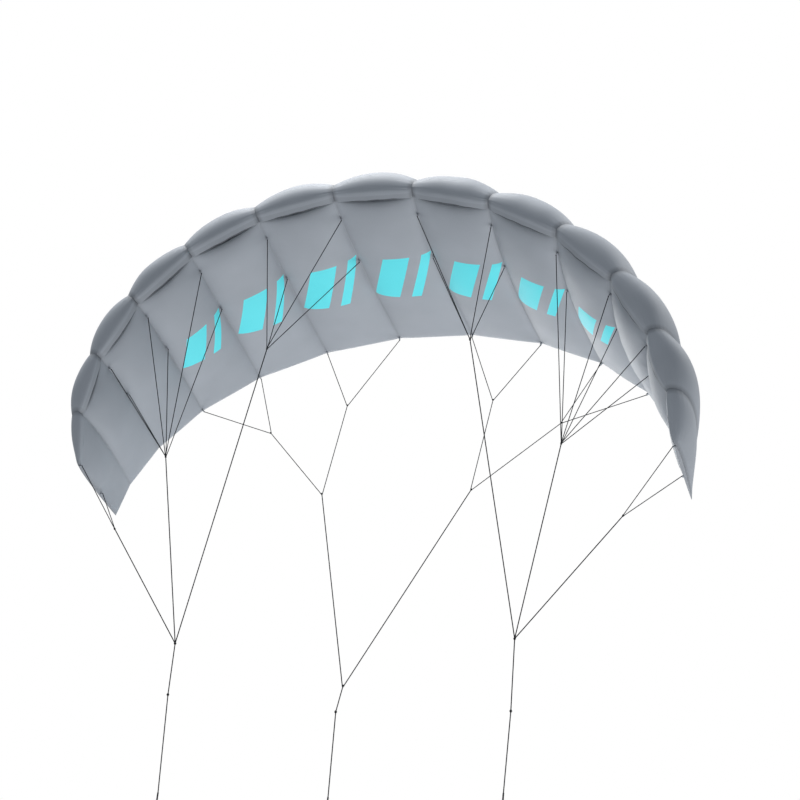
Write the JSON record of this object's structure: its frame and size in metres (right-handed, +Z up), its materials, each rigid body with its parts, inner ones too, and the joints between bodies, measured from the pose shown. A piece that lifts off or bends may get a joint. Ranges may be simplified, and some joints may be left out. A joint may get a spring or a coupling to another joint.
{
  "type": "trainer kite",
  "caption": "Soft ram-air trainer kite as it flies, a curved cellular canopy with its bridle and the tops of three flying lines.",
  "frame": {"origin": "in the canopy's plane of symmetry, level with the three line ends and, seen from the side, on the two power lines", "axes": "+Z up the taut flying lines, +X along the span to the right as seen from the nose's side, +Y from the nose to the trailing edge"},
  "size_m": [1.9432, 0.8881, 2.057],
  "materials": {
    "upper_cloth": "matte",
    "lower_cloth": "matte",
    "rib_cloth": "matte",
    "line": "matte"
  },
  "bodies": {
    "root": {"upper_panel_01": "upper_cloth", "upper_panel_02": "upper_cloth", "upper_panel_03": "upper_cloth", "upper_panel_04": "upper_cloth", "upper_panel_05": "upper_cloth", "upper_panel_06": "upper_cloth", "upper_panel_07": "upper_cloth", "upper_panel_08": "upper_cloth", "upper_panel_09": "upper_cloth", "upper_panel_10": "upper_cloth", "upper_panel_11": "upper_cloth", "upper_panel_12": "upper_cloth", "upper_panel_13": "upper_cloth", "lower_panel_01": "lower_cloth", "lower_panel_02": "lower_cloth", "lower_panel_03": "lower_cloth", "lower_panel_04": "lower_cloth", "lower_panel_05": "lower_cloth", "lower_panel_06": "lower_cloth", "lower_panel_07": "lower_cloth", "lower_panel_08": "lower_cloth", "lower_panel_09": "lower_cloth", "lower_panel_10": "lower_cloth", "lower_panel_11": "lower_cloth", "lower_panel_12": "lower_cloth", "lower_panel_13": "lower_cloth", "rib_01": "rib_cloth", "rib_02": "rib_cloth", "rib_03": "rib_cloth", "rib_04": "rib_cloth", "rib_05": "rib_cloth", "rib_06": "rib_cloth", "rib_07": "rib_cloth", "rib_08": "rib_cloth", "rib_09": "rib_cloth", "rib_10": "rib_cloth", "rib_11": "rib_cloth", "rib_12": "rib_cloth", "rib_13": "rib_cloth", "rib_14": "rib_cloth", "power_fan_outer_left": "line", "power_fan_inner_left": "line", "tip_line_left": "line", "power_legs_left": "line", "brake_line_outer_left": "line", "brake_line_inner_left": "line", "brake_line_middle_left": "line", "power_fan_outer_right": "line", "power_fan_inner_right": "line", "tip_line_right": "line", "power_legs_right": "line", "brake_line_outer_right": "line", "brake_line_inner_right": "line", "brake_line_middle_right": "line", "brake_legs": "line", "flying_line_left": "line", "flying_line_right": "line", "flying_line_brake": "line"}
  },
  "joints": []
}
